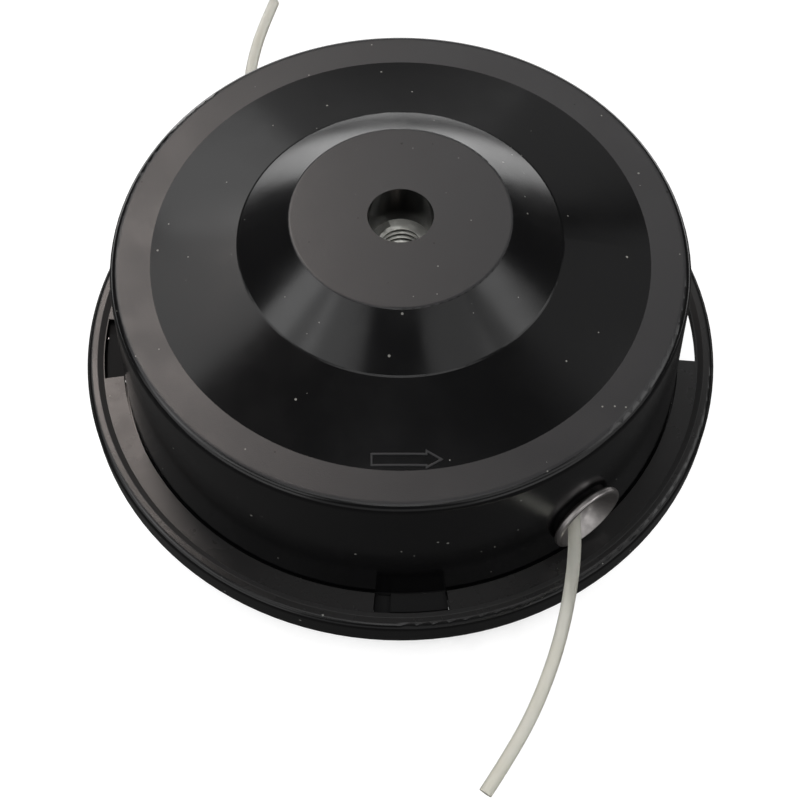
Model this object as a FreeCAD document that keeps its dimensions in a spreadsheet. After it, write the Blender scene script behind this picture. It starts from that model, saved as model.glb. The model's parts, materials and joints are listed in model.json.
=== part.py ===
import FreeCAD, Part
import Sketcher
import math
import os
import re

# Tap-feed trimmer head, in millimetres. +Z is the shaft axis, pointing at the gearbox, and the
# origin is the lowest point of the bump knob, on the ground. The camera side of the head is -Y.
# Each line below is a driving size: its alias, its value and what it measures.
SIZES = [
    ("knob_reach", 14.0, "ground to the lower edge of the cover's rim"),
    ("rim_width", 8.0, "width of the cover's rim outside its seam"),
    ("rim_depth", 6.0, "height of the cover's rim"),
    ("rim_wall", 2.4, "thickness of the rim's outer skirt"),
    ("rim_web", 2.6, "thickness of the rim's flat top"),
    ("bead_rise", 0.8, "how far the rounded bead stands above the rim's flat top"),
    ("bead_width", 3.6, "radial width of the bead, its slope included"),
    ("bead_crest", 2.5, "radial width of the bead's crest"),
    ("bead_round", 1.4, "rounding of the bead's outer edge"),
    ("rim_round", 0.9, "rounding of the rim's lower edge"),
    ("seam_gap", 0.3, "radial gap between housing wall and rim"),
    ("seam_ledge", 2.8, "how far the housing wall sinks below the rim's flat top"),
    ("floor_wall", 2.6, "thickness of the cover's floor"),
    ("ledge_wall", 1.3, "wall of the step between the rim's flat top and its ledge"),
    ("floor_drop", 3.8, "how far the cover's floor lies under its ledge"),
    ("ledge_width", 5.2, "width of the ledge that the housing wall stands on"),
    ("floor_slope", 2.8, "radial width of the sloping wall between floor and ledge"),
    ("opening_gap", 0.7, "gap between the knob and its opening in the cover"),
    ("collar_wall", 2.5, "wall of the collar round the knob's opening"),
    ("collar_drop", 1.8, "how far that collar hangs under the cover's floor"),
    ("slot_spread", 13.7, "angle that a latch slot spans, degrees"),
    ("slot_turn", 2.0, "azimuth of the first latch slot, degrees"),
    ("slot_count", 4, "number of latch slots"),
    ("shoulder_width", 8.4, "width of the flat shoulder"),
    ("shoulder_height", 40.0, "shoulder above the rim's lower edge"),
    ("shoulder_round", 1.9, "rounding of the shoulder's outer corner"),
    ("wall_draft", 1.7, "how much wider the housing's wall is at its foot"),
    ("wall", 2.9, "wall thickness of the housing"),
    ("plateau_wall", 3.5, "thickness of the hub's flat top"),
    ("hub_radius", 33.3, "radius at the foot of the hub cone"),
    ("hub_height", 4.4, "foot of the hub cone above the shoulder"),
    ("hub_foot_round", 1.2, "fillet in the corner at the foot of the hub cone"),
    ("hub_slope", 10.9, "width of the hub cone"),
    ("plateau_height", 7.5, "flat top above the foot of the hub cone"),
    ("plateau_round", 1.0, "rounding of the flat top's edge"),
    ("shaft_hole", 6.7, "radius of the hole for the gearbox shaft"),
    ("insert_sink", 10.0, "depth of the steel insert's face under the flat top"),
    ("boss_wall", 2.6, "wall of the boss round the retaining ring"),
    ("boss_lip", 0.7, "how far the boss reaches under the retaining ring"),
    ("rib_thickness", 2.0, "thickness of the ribs round the boss"),
    ("rib_gap", 1.9, "gap between the ribs and the pushed-in spool"),
    ("rib_room", 4.0, "gap between the ribs and the ring of teeth"),
    ("rib_count", 8, "number of ribs"),
    ("tab_play", 3.3, "how much narrower a latch is than its slot, degrees"),
    ("tab_edge", 0.25, "gap on a latch's tight side, degrees"),
    ("tab_thickness", 1.6, "thickness of a latch"),
    ("tab_sink", 0.8, "how far a latch's top lies under the rim's flat top"),
    ("tab_drop", 4.2, "height of a latch"),
    ("tab_barb", 1.2, "how far a latch's barb catches under the rim's web"),
    ("barb_height", 1.0, "height of a latch's barb"),
    ("tab_count", 3, "number of latches"),
    ("neck_radius", 8.0, "radius of the insert's neck"),
    ("neck_length", 5.9, "length of the insert's neck"),
    ("hex_flats", 20.0, "width across flats of the insert's hexagon"),
    ("hex_height", 6.0, "height of the insert's hexagon"),
    ("stem_radius", 7.0, "radius of the insert's stem, which guides the spool"),
    ("stem_proud", 0.1, "how far the stem reaches past the spool's bush"),
    ("stem_chamfer", 0.6, "chamfer of the stem's lower end"),
    ("thread_core", 4.25, "radius of the tapped hole before threading"),
    ("mouth_chamfer", 1.05, "chamfer at the mouth of the tapped hole"),
    ("retainer_lap", 0.85, "how far the retaining ring reaches past the hexagon"),
    ("retainer_height", 1.2, "thickness of the ring that holds the insert"),
    ("retainer_notches", 6, "number of notches in that ring"),
    ("retainer_notch", 3.0, "width and depth of those notches"),
    ("eyelet_turn", 37.5, "turn of the line holes from the front, degrees"),
    ("eyelet_foot", 2.0, "gap between an eyelet's lip and the rim's flat top"),
    ("eyelet_rise", 2.0, "how far an eyelet's lip stands off the wall"),
    ("eyelet_bell", 4.0, "how much wider an eyelet's lip is than its throat"),
    ("eyelet_edge", 0.7, "rounded edge of an eyelet's lip"),
    ("eyelet_flange", 1.5, "thickness of an eyelet's lip"),
    ("eyelet_flare", 3.6, "depth of an eyelet's flared mouth"),
    ("lip_lap", 1.3, "how far an eyelet's lip covers the wall round its seat"),
    ("eyelet_throat", 4.2, "radius of an eyelet's throat"),
    ("eyelet_metal", 0.9, "thickness of an eyelet's metal"),
    ("eyelet_roll", 1.1, "how far an eyelet's inner end is rolled outwards"),
    ("washer_width", 2.2, "width of the washer clinched behind an eyelet"),
    ("washer_thickness", 0.8, "thickness of that washer"),
    ("spool_gap", 5.1, "gap between the spool and the housing's wall"),
    ("flange_thickness", 2.0, "thickness of the spool's flanges"),
    ("crown_room", 6.1, "gap between the pushed-in spool and the ceiling"),
    ("flange_edge", 6.0, "how far the spool's flanges reach past their lugs"),
    ("drum_wall", 2.5, "wall of the spool's drum"),
    ("shelf_thickness", 2.6, "thickness of the shelf inside the drum"),
    ("hub_ring_wall", 3.48, "wall of the ring in the middle of the shelf"),
    ("hub_ring_drop", 0.9, "how far that ring hangs under the lower flange"),
    ("foot_width", 6.0, "radial width of the spool's foot on the knob's flange"),
    ("notch_radius", 2.2, "radius of the line notches in the upper flange's edge"),
    ("notch_count", 2, "number of line notches"),
    ("bush_wall", 1.6, "wall of the spool's bush"),
    ("bush_lap", 1.94, "how far the bush's flange reaches past its sleeve"),
    ("bush_flange_height", 1.0, "thickness of the bush's flange"),
    ("tooth_room", 3.0, "gap between the knob's flange and the spool's lugs"),
    ("tooth_length", 8.0, "radial length of the indexing teeth and lugs"),
    ("tooth_width", 5.0, "width of the indexing teeth and lugs"),
    ("tooth_height", 3.0, "height of the indexing teeth and lugs"),
    ("tooth_count", 4, "number of indexing teeth on each side"),
    ("tooth_gap", 1.0, "gap between the cover's teeth and the spool's lower flange"),
    ("tooth_clear", 0.5, "gap left over the spool when the knob is pushed right in"),
    ("travel", 6.0, "how far the knob is pushed in by a bump"),
    ("knob_radius", 30.5, "outer radius of the bump knob"),
    ("knob_slope", 10.5, "width of the knob's rounded lower edge"),
    ("knob_shoulder", 8.0, "height of the knob's rounded lower edge"),
    ("knob_wall", 3.4, "wall of the bump knob"),
    ("knob_lap", 4.5, "how far the flange that keeps the knob in reaches past it"),
    ("knob_flange_height", 2.1, "thickness of that flange"),
    ("grip_radius", 2.4, "radius of the grip grooves round the knob"),
    ("grip_stop", 1.5, "gap between the grip grooves and the knob's flange"),
    ("grip_count", 12, "number of grip grooves"),
    ("leg_room", 1.1, "gap between the snap legs and the spool's ring"),
    ("leg_thickness", 2.2, "thickness of the snap legs"),
    ("leg_spread", 26.0, "angle that a snap leg spans, degrees"),
    ("leg_barb", 1.8, "how far a snap leg's barb reaches over the shelf"),
    ("leg_hook", 1.4, "height of a snap leg's barb"),
    ("hook_room", 0.5, "gap between the snap legs and the thrust washer's seat"),
    ("hook_side", 1.2, "gap between a snap leg's barb and the drum"),
    ("leg_slack", 3.0, "how much wider a snap leg's window is than the leg, degrees"),
    ("leg_count", 3, "number of snap legs"),
    ("spring_wire", 1.6, "wire of the compression spring"),
    ("spring_radius", 13.6, "mean radius of the compression spring"),
    ("spring_pitch", 2.95, "pitch of the compression spring"),
    ("spring_grind", 0.48, "how much is ground off each end of the spring"),
    ("seat_lap", 1.2, "how far the spring's seat washer reaches past the spring"),
    ("seat_thickness", 1.0, "thickness of the spring's upper seat washer"),
    ("thrust_gap", 0.9, "gap between the thrust washer and the drum"),
    ("thrust_thickness", 1.2, "thickness of the thrust washer"),
    ("line_thickness", 2.7, "diameter of the nylon line"),
    ("line_offset", 38.2, "distance from the axis to the line where it leaves the winding"),
    ("winding_groove", 0.8, "depth of the grooves between the winding's turns"),
    ("play", 0.3, "clearance between pieces that move past each other"),
    ("seat", 0.1, "clearance between pieces that rest on each other"),
    ("fit", 0.06, "radial clearance of a running fit"),
    ("root_sink", 0.5, "how far the root of an added feature reaches into its carrier"),
    ("over_cut", 1.0, "how far a cut starts outside what it cuts"),
]

# Heights and places that several sub-parts share, each written once from the sizes above.
SHARED = [
    ("rim_top", "knob_reach + rim_depth", "flat top of the rim"),
    ("ledge_top", "rim_top - seam_ledge", "ledge that the housing wall stands on"),
    ("floor_top", "ledge_top - floor_drop", "inner face of the cover's floor"),
    ("knob_flange", "knob_radius + knob_lap", "radius of the flange that keeps the knob in"),
    ("knob_flat", "knob_radius - knob_slope", "radius of the knob's flat bottom"),
    ("opening_radius", "knob_radius + opening_gap", "radius of the knob's opening in the cover"),
    ("tooth_inner", "knob_flange + tooth_room", "inner radius of the teeth and lugs"),
    ("tooth_outer", "tooth_inner + tooth_length", "outer radius of the teeth and lugs"),
    ("spool_radius", "tooth_outer + flange_edge", "radius of the spool's flanges"),
    ("shoulder_radius", "spool_radius + spool_gap + wall", "radius of the housing at its shoulder"),
    ("rim_inner", "shoulder_radius + wall_draft + seam_gap", "inner radius of the rim"),
    ("rim_radius", "rim_inner + rim_width", "outer radius of the cover's rim"),
    ("slot_outer", "rim_radius - rim_wall - tab_barb - 2 * seat", "outer radius of the latch slots"),
    ("floor_radius", "rim_inner - ledge_width - floor_slope", "radius of the cover's flat floor"),
    ("tab_spread", "slot_spread - tab_play", "angle that a latch spans, degrees"),
    ("tab_shift", "tab_play / 2 - tab_edge", "turn of each latch from the middle of its slot"),
    ("shoulder_top", "knob_reach + shoulder_height", "flat shoulder of the housing"),
    ("cone_radius", "shoulder_radius - shoulder_width", "outer radius of the shallow cone"),
    ("hub_foot", "shoulder_top + hub_height", "foot of the hub cone"),
    ("plateau_radius", "hub_radius - hub_slope", "radius of the flat top of the hub"),
    ("plateau_top", "hub_foot + plateau_height", "flat top of the hub"),
    ("neck_top", "plateau_top - insert_sink", "upper face of the steel insert"),
    ("hex_top", "neck_top - neck_length", "upper face of the hexagon"),
    ("hex_bottom", "hex_top - hex_height", "lower face of the hexagon"),
    ("retainer_radius", "hex_flats / sqrt(3) + retainer_lap", "radius of the retaining ring"),
    ("boss_radius", "retainer_radius + boss_wall", "outer radius of the boss"),
    ("boss_bottom", "hex_bottom - seat - retainer_height - boss_lip", "lower end of the boss"),
    ("rib_span", "tooth_inner - rib_room", "outer radius of the ribs"),
    ("mouth_radius", "thread_core + mouth_chamfer", "radius of the tapped hole's mouth"),
    ("eyelet_lip", "eyelet_throat + eyelet_bell", "radius of an eyelet's lip"),
    ("eyelet_seat", "eyelet_lip - lip_lap", "radius of an eyelet's countersunk seat"),
    ("washer_radius", "eyelet_throat + eyelet_metal + seat + washer_width",
     "radius of the washer clinched behind an eyelet"),
    ("line_height", "rim_top + eyelet_lip + eyelet_foot", "height of the line holes"),
    ("lug_bottom", "floor_top + play", "lower end of the spool's lower lugs"),
    ("spool_bottom", "floor_top + tooth_height + tooth_gap", "underside of the spool's lower flange"),
    ("chamber_bottom", "spool_bottom + flange_thickness", "lower end of the line chamber"),
    ("ceiling", "shoulder_top - wall", "inner face under the shoulder"),
    ("spool_top", "ceiling - crown_room - travel", "upper face of the spool"),
    ("chamber_top", "spool_top - flange_thickness", "upper end of the line chamber"),
    ("chamber_height", "chamber_top - chamber_bottom", "gap between the spool's flanges"),
    ("shelf_bottom", "chamber_bottom", "underside of the shelf"),
    ("shelf_top", "shelf_bottom + shelf_thickness", "upper face of the shelf"),
    ("ring_bottom", "spool_bottom - hub_ring_drop", "lower end of the ring in the shelf"),
    ("ring_top", "shelf_top + seat + leg_hook + hook_room", "upper end of the ring in the shelf"),
    ("bush_outer", "stem_radius + fit + bush_wall", "outer radius of the bush"),
    ("bush_flange", "bush_outer + bush_lap", "radius of the bush's flange"),
    ("stem_bottom", "ring_bottom - seat - bush_flange_height - stem_proud",
     "lower end of the stem"),
    ("hub_ring_radius", "bush_outer + fit + hub_ring_wall", "outer radius of the ring in the shelf"),
    ("leg_inner", "hub_ring_radius + leg_room", "inner radius of the knob's snap legs"),
    ("drum_inner", "leg_inner + leg_thickness + leg_barb + hook_side", "inner radius of the drum"),
    ("drum_radius", "drum_inner + drum_wall", "outer radius of the spool's drum"),
    ("knob_rim", "floor_top + play", "underside of the knob's flange"),
    ("knob_top", "knob_rim + knob_flange_height", "upper face of the knob's flange"),
    ("thrust_bottom", "ring_top + seat", "lower face of the thrust washer"),
    ("thrust_top", "thrust_bottom + thrust_thickness", "upper face of the thrust washer"),
    ("seat_top", "boss_bottom - seat", "upper face of the spring's upper seat"),
    ("seat_bottom", "seat_top - seat_thickness", "lower face of the spring's upper seat"),
    ("seat_radius", "spring_radius + spring_wire / 2 + seat_lap", "radius of the spring's seat"),
    ("thrust_radius", "drum_inner - thrust_gap", "radius of the thrust washer"),
    ("tooth_reach", "spool_top + travel + tooth_clear", "lower end of the housing's teeth"),
    ("mesh_turn", "asin((tooth_width + play) / tooth_inner) / 1 deg", "turn from a tooth to its lug"),
    ("wall_foot", "shoulder_radius + wall_draft", "outer radius of the wall's foot"),
    ("cone_shift", "0.3 * wall", "how far the hub cone's inner corners lie inside its outer ones"),
    ("floor_shift", "0.3 * floor_wall", "the same for the cover's sloping wall"),
    ("line_wall", "shoulder_radius - wall + wall_draft * (ceiling - line_height) "
     "/ (ceiling - ledge_top)", "inner face of the wall at the line holes"),
    ("eyelet_proud", "line_wall + wall + eyelet_rise", "outermost face of an eyelet"),
    ("clinch", "sqrt(line_wall * line_wall - washer_radius * washer_radius) - play",
     "outer face of the washer behind an eyelet"),
    ("eyelet_inner", "clinch - washer_thickness - seat", "face of an eyelet's rolled end"),
]

# The free lines' routes. They start on the winding, run through their eyelets and curl away
# with the set that the nylon took on the spool. The last point of each is its bare cut end.
FRONT_ROUTE = [
    (38.2, -2.0, 30.2), (37.4, -24.0, 30.2), (35.3, -46.5, 30.2), (35.3, -57.7, 29.3),
    (32.4, -72.3, 27.7), (28.1, -84.4, 25.9), (22.6, -95.0, 23.8), (16.2, -104.1, 22.0),
]
REAR_ROUTE = [
    (-38.2, 2.0, 30.2), (-37.4, 24.0, 30.2), (-35.3, 46.5, 30.2), (-36.4, 58.5, 29.0),
    (-36.9, 72.0, 26.2), (-36.3, 84.0, 22.8), (-35.0, 95.7, 19.2), (-33.0, 107.0, 16.0),
]

doc = FreeCAD.newDocument("trimmer_head")
sheet = doc.addObject("Spreadsheet::Sheet", "Sizes")
NODES = []

# A bend takes up this share of the shorter of its two runs.
BEND_SHARE = 0.45


def fill_sheet():
    """Write every driving and shared size into the sheet, with its alias and its note."""
    row = 0
    for alias, value, note in SIZES:
        row += 1
        write_row(row, alias, "%g" % value, note)
    for alias, formula, note in SHARED:
        row += 1
        write_row(row, alias, "=" + formula, note)
    doc.recompute()


def write_row(row, alias, content, note):
    sheet.set("A%d" % row, alias)
    sheet.set("B%d" % row, content)
    sheet.set("C%d" % row, note)
    sheet.setAlias("B%d" % row, alias)


ALIASES = {entry[0] for entry in SIZES} | {entry[0] for entry in SHARED}


def bound(formula):
    """The formula with each size's alias read from the sheet."""
    def swap(found):
        word = found.group(0)
        return "Sizes." + word if word in ALIASES else word
    return re.sub(r"[a-z_]+", swap, str(formula))


def value(formula):
    """What a formula of the sizes comes to now."""
    return float(sheet.evalExpression(str(formula)))


def origin(body, role):
    """One of the body's own origin planes or axes."""
    return [item for item in body.Origin.OriginFeatures if item.Role == role][0]


def new_body(label):
    body = doc.addObject("PartDesign::Body", "Body_" + label)
    body.Label = label
    NODES.append(body)
    return body


def sketch_on(body, role, turn=None, lift=None, rise=None):
    """A sketch on an origin plane, turned about Z, lifted along its normal or raised in it."""
    sketch = body.newObject("Sketcher::SketchObject", "Sketch")
    sketch.AttachmentSupport = [(origin(body, role), "")]
    sketch.MapMode = "FlatFace"
    if turn is not None:
        upright = FreeCAD.Vector(0, 0, 1) if role == "XY_Plane" else FreeCAD.Vector(0, 1, 0)
        sketch.AttachmentOffset = FreeCAD.Placement(
            FreeCAD.Vector(0, 0, 0), FreeCAD.Rotation(upright, 1.0))
        sketch.setExpression("AttachmentOffset.Rotation.Angle", bound(turn))
    if lift is not None:
        sketch.setExpression("AttachmentOffset.Base.z", bound(lift))
    if rise is not None:
        sketch.setExpression("AttachmentOffset.Base.y", bound(rise))
    doc.recompute()
    return sketch


def pin(sketch, shape, point, x, y):
    """Tie one point of the sketch to two formulas; a 0 puts it on the axis itself."""
    if str(x) == "0":
        sketch.addConstraint(Sketcher.Constraint("PointOnObject", shape, point, -2))
    else:
        place = sketch.addConstraint(
            Sketcher.Constraint("DistanceX", -1, 1, shape, point, value(x)))
        sketch.setExpression("Constraints[%d]" % place, bound(x))
    if str(y) == "0":
        sketch.addConstraint(Sketcher.Constraint("PointOnObject", shape, point, -1))
    else:
        place = sketch.addConstraint(
            Sketcher.Constraint("DistanceY", -1, 1, shape, point, value(y)))
        sketch.setExpression("Constraints[%d]" % place, bound(y))


def outline(sketch, corners):
    """A closed outline of straight lines through corners given as pairs of formulas."""
    spots = [FreeCAD.Vector(value(x), value(y), 0) for x, y in corners]
    count = len(spots)
    first = sketch.GeometryCount
    for index in range(count):
        sketch.addGeometry(Part.LineSegment(spots[index], spots[(index + 1) % count]), False)
    for index in range(count):
        following = first + (index + 1) % count
        sketch.addConstraint(
            Sketcher.Constraint("Coincident", first + index, 2, following, 1))
    for index, (x, y) in enumerate(corners):
        pin(sketch, first + index, 1, x, y)
    doc.recompute()


def circle(sketch, x, y, radius):
    """A circle whose centre and radius are formulas."""
    centre = FreeCAD.Vector(value(x), value(y), 0)
    up = FreeCAD.Vector(0, 0, 1)
    shape = sketch.addGeometry(Part.Circle(centre, up, value(radius)), False)
    pin(sketch, shape, 3, x, y)
    place = sketch.addConstraint(Sketcher.Constraint("Radius", shape, value(radius)))
    sketch.setExpression("Constraints[%d]" % place, bound(radius))
    doc.recompute()


def settle(body, feature):
    """Recompute a new feature and stop if it failed."""
    doc.recompute()
    if "Invalid" in feature.State or feature.Shape.isNull():
        raise RuntimeError("%s: %s failed" % (body.Label, feature.Name))
    return feature


def revolve(body, corners, kind="Revolution", turn=None, rise=None, spread=None, axis="V_Axis"):
    """Turn an outline about an axis of its sketch, all round or over a spread of degrees."""
    sketch = sketch_on(body, "XZ_Plane", turn=turn, rise=rise)
    outline(sketch, corners)
    feature = body.newObject("PartDesign::" + kind, kind)
    feature.Profile = sketch
    feature.ReferenceAxis = (sketch, [axis])
    if spread is None:
        feature.Angle = 360.0
    else:
        feature.Midplane = True
        feature.setExpression("Angle", bound(spread))
    return settle(body, feature)


def pad(body, sketch, length, symmetric=False):
    """Add a sketch's shape along its normal, or half to each side of its plane."""
    feature = body.newObject("PartDesign::Pad", "Pad")
    feature.Profile = sketch
    feature.Midplane = symmetric
    feature.setExpression("Length", bound(length))
    return settle(body, feature)


def pocket(body, sketch, length, symmetric=False):
    """Cut a sketch's shape upwards from its plane, or half to each side of it."""
    before = body.Tip.Shape.Volume
    feature = body.newObject("PartDesign::Pocket", "Pocket")
    feature.Profile = sketch
    feature.Midplane = symmetric
    feature.Reversed = not symmetric
    feature.setExpression("Length", bound(length))
    settle(body, feature)
    if feature.Shape.Volume >= before:
        raise RuntimeError(body.Label + ": a pocket cuts nothing")
    return feature


def repeat_round(body, feature, count, angle=360.0):
    """Repeat a feature about the body's Z axis."""
    pattern = body.newObject("PartDesign::PolarPattern", "PolarPattern")
    pattern.Originals = [feature]
    pattern.Axis = (origin(body, "Z_Axis"), [""])
    pattern.Angle = angle
    pattern.setExpression("Occurrences", bound(count))
    body.Tip = pattern
    return settle(body, pattern)


def block_sketch(body, inner, outer, width, lift, turn="0"):
    """A rectangle that lies along a radius, between two radii, at a height."""
    sketch = sketch_on(body, "XY_Plane", turn=turn, lift=lift)
    half = "(%s) / 2" % width
    outline(sketch, [(inner, "-" + half), (outer, "-" + half), (outer, half), (inner, half)])
    return sketch


def hexagon(sketch, flats):
    """A hexagon given by its width across flats, with two of its corners on the Y axis."""
    half = "(%s) / 2" % flats
    corner = "(%s) / sqrt(3)" % flats
    side = "(%s) / 2 / sqrt(3)" % flats
    outline(sketch, [(half, "-" + side), (half, side), ("0", corner),
                     ("-" + half, side), ("-" + half, "-" + side), ("0", "-" + corner)])


def round_rings(body, rings, radius, along="z"):
    """Round the circular edges that lie at given radii and distances along an axis."""
    names = []
    for index, edge in enumerate(body.Tip.Shape.Edges, 1):
        curve = edge.Curve
        if curve.TypeId != "Part::GeomCircle":
            continue
        place = getattr(curve.Center, along)
        for ring_radius, ring_place in rings:
            same_place = abs(place - value(ring_place)) < 0.01
            if same_place and abs(curve.Radius - value(ring_radius)) < 0.01:
                names.append("Edge%d" % index)
    base = body.Tip
    feature = body.newObject("PartDesign::Fillet", "Fillet")
    feature.Base = (base, names)
    feature.setExpression("Radius", bound(radius))
    return settle(body, feature)


def washer(label, inner, outer, bottom, top):
    """A flat round washer about Z."""
    body = new_body(label)
    revolve(body, [(inner, bottom), (outer, bottom), (outer, top), (inner, top)])
    return body


def housing():
    """Moulded upper shell: stepped cover, boss for the insert, ribs, teeth and latches."""
    body = new_body("housing")
    foot = "ledge_top + seat"
    inside_top = "plateau_top - plateau_wall"
    inside_radius = "plateau_radius - cone_shift"
    bore = "neck_radius + fit"
    counterbore = "retainer_radius + fit"
    revolve(body, [
        ("shaft_hole", "neck_top"), ("shaft_hole", "plateau_top"),
        ("plateau_radius", "plateau_top"), ("hub_radius", "hub_foot"),
        ("cone_radius", "shoulder_top"), ("shoulder_radius", "shoulder_top"),
        ("wall_foot", foot), ("wall_foot - wall", foot),
        ("shoulder_radius - wall", "ceiling"), ("cone_radius", "ceiling"),
        ("hub_radius - cone_shift", "hub_foot - wall"), (inside_radius, inside_top),
        ("boss_radius", inside_top), ("boss_radius", "boss_bottom"),
        (counterbore, "boss_bottom"), (counterbore, "hex_bottom"),
        (bore, "hex_bottom"), (bore, "neck_top"),
    ])
    round_rings(body, [("shoulder_radius", "shoulder_top")], "shoulder_round")
    round_rings(body, [("plateau_radius", "plateau_top")], "plateau_round")
    round_rings(body, [("hub_radius", "hub_foot")], "hub_foot_round")
    pocket_hexagon(body)
    housing_ribs(body)
    housing_teeth(body)
    latches(body)
    line_holes(body)


def pocket_hexagon(body):
    """The hexagonal seat of the insert, open from below."""
    sketch = sketch_on(body, "XY_Plane", lift="hex_bottom")
    hexagon(sketch, "hex_flats + 2 * fit")
    pocket(body, sketch, "hex_height")


def housing_ribs(body):
    """Upright ribs that stiffen the boss against the hub."""
    low = "spool_top + travel + rib_gap"
    root = "boss_radius - root_sink"
    hub_root = "hub_foot - wall + root_sink"
    top = "plateau_top - plateau_wall + root_sink"
    sketch = sketch_on(body, "XZ_Plane")
    outline(sketch, [
        (root, low), ("rib_span", low), ("rib_span", hub_root),
        ("hub_radius - cone_shift", hub_root), ("plateau_radius - cone_shift", top), (root, top),
    ])
    repeat_round(body, pad(body, sketch, "rib_thickness", symmetric=True), "rib_count")


def housing_teeth(body):
    """Teeth under the shoulder, which stop the spool while the knob is pushed in."""
    slope = "hub_height * (cone_radius - tooth_outer) / (cone_radius - hub_radius)"
    sketch = block_sketch(body, "tooth_inner", "tooth_outer", "tooth_width", "tooth_reach",
                          turn="0 - mesh_turn - 180 / tooth_count")
    tooth = pad(body, sketch, "ceiling + %s + root_sink - tooth_reach" % slope)
    repeat_round(body, tooth, "tooth_count")


def latches(body):
    """Hooked latches on the wall's foot, which reach through the cover's slots."""
    top = "rim_top - tab_sink"
    root = "wall_foot - root_sink - wall / 2"
    hook = "slot_outer - 2 * play"
    barb = "slot_outer + tab_barb"
    catch = "rim_top - rim_web - play"
    inner = hook + " - tab_thickness"
    tip = top + " - tab_drop"
    tab = revolve(body, [
        (root, top + " - tab_thickness"), (inner, top + " - tab_thickness"), (inner, tip),
        (hook, tip), (barb, catch + " - barb_height"), (barb, catch), (hook, catch),
        (hook, top),
        (root, top),
    ], turn="slot_turn + 90 + tab_shift", spread="tab_spread")
    repeat_round(body, tab, "tab_count", angle=180.0)


def line_holes(body):
    """Two opposite round holes for the eyelets, countersunk from outside."""
    bore = "eyelet_throat + eyelet_metal + seat"
    mouth = "eyelet_seat + seat"
    inside = "line_wall - wall"
    outside = "eyelet_proud + over_cut"
    hole = revolve(body, [
        (inside, "0"), (outside, "0"), (outside, mouth), ("eyelet_proud - eyelet_flange", mouth),
        ("eyelet_proud - eyelet_flare", bore), (inside, bore),
    ], kind="Groove", turn="eyelet_turn - 90", rise="line_height", axis="H_Axis")
    repeat_round(body, hole, "2")


def cover():
    """Moulded lower cover: wide rim with slots, dished floor, teeth and the knob's opening."""
    body = new_body("cover")
    web = "rim_top - rim_web"
    skirt = "rim_radius - rim_wall"
    floor_under = "floor_top - floor_wall"
    ledge_under = "ledge_top - floor_wall"
    slope_end = "floor_radius + floor_slope"
    revolve(body, [
        ("opening_radius", "floor_top"), ("floor_radius", "floor_top"),
        (slope_end, "ledge_top"), ("rim_inner", "ledge_top"), ("rim_inner", "rim_top"),
        ("rim_radius - bead_width", "rim_top"),
        ("rim_radius - bead_crest", "rim_top + bead_rise"),
        ("rim_radius", "rim_top + bead_rise"), ("rim_radius", "knob_reach"),
        (skirt, "knob_reach"), (skirt, web), ("rim_inner + ledge_wall", web),
        ("rim_inner + ledge_wall", ledge_under), (slope_end + " + floor_shift", ledge_under),
        ("floor_radius + floor_shift", floor_under),
        ("opening_radius + collar_wall", floor_under),
        ("opening_radius + collar_wall", floor_under + " - collar_drop"),
        ("opening_radius", floor_under + " - collar_drop"),
    ])
    round_rings(body, [("rim_radius", "rim_top + bead_rise")], "bead_round")
    round_rings(body, [("rim_radius", "knob_reach")], "rim_round")
    slot_low = "knob_reach - over_cut"
    slot_high = "rim_top + over_cut"
    slot = revolve(body, [
        ("rim_inner - play", slot_low), ("slot_outer", slot_low), ("slot_outer", slot_high),
        ("rim_inner - play", slot_high),
    ], kind="Groove", turn="slot_turn", spread="slot_spread")
    repeat_round(body, slot, "slot_count")
    sketch = block_sketch(body, "tooth_inner", "tooth_outer", "tooth_width",
                          "floor_top - root_sink", turn="0 - mesh_turn")
    repeat_round(body, pad(body, sketch, "tooth_height + root_sink"), "tooth_count")


def arbor_insert():
    """Turned steel insert with a left-hand tapped hole, a hexagon and the spool's stem."""
    body = new_body("arbor_insert")
    neck_bottom = "hex_bottom + hex_height / 2"
    revolve(body, [
        ("thread_core", "stem_bottom"), ("stem_radius - stem_chamfer", "stem_bottom"),
        ("stem_radius", "stem_bottom + stem_chamfer"), ("stem_radius", neck_bottom),
        ("neck_radius", neck_bottom), ("neck_radius", "neck_top"),
        ("mouth_radius", "neck_top"), ("thread_core", "neck_top - mouth_chamfer"),
    ])
    sketch = sketch_on(body, "XY_Plane", lift="hex_bottom")
    hexagon(sketch, "hex_flats")
    circle(sketch, "0", "0", "(thread_core + stem_radius) / 2")
    pad(body, sketch, "hex_height - seat")


def insert_retaining_ring():
    """Flat steel ring, notched round its edge, pressed in under the insert's hexagon."""
    top = "hex_bottom - seat"
    body = washer("insert_retaining_ring", "stem_radius + play", "retainer_radius",
                  top + " - retainer_height", top)
    sketch = block_sketch(body, "retainer_radius - 0.5 * retainer_notch",
                          "retainer_radius + over_cut", "retainer_notch",
                          top + " - retainer_height")
    repeat_round(body, pocket(body, sketch, "retainer_height"), "retainer_notches")


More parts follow.
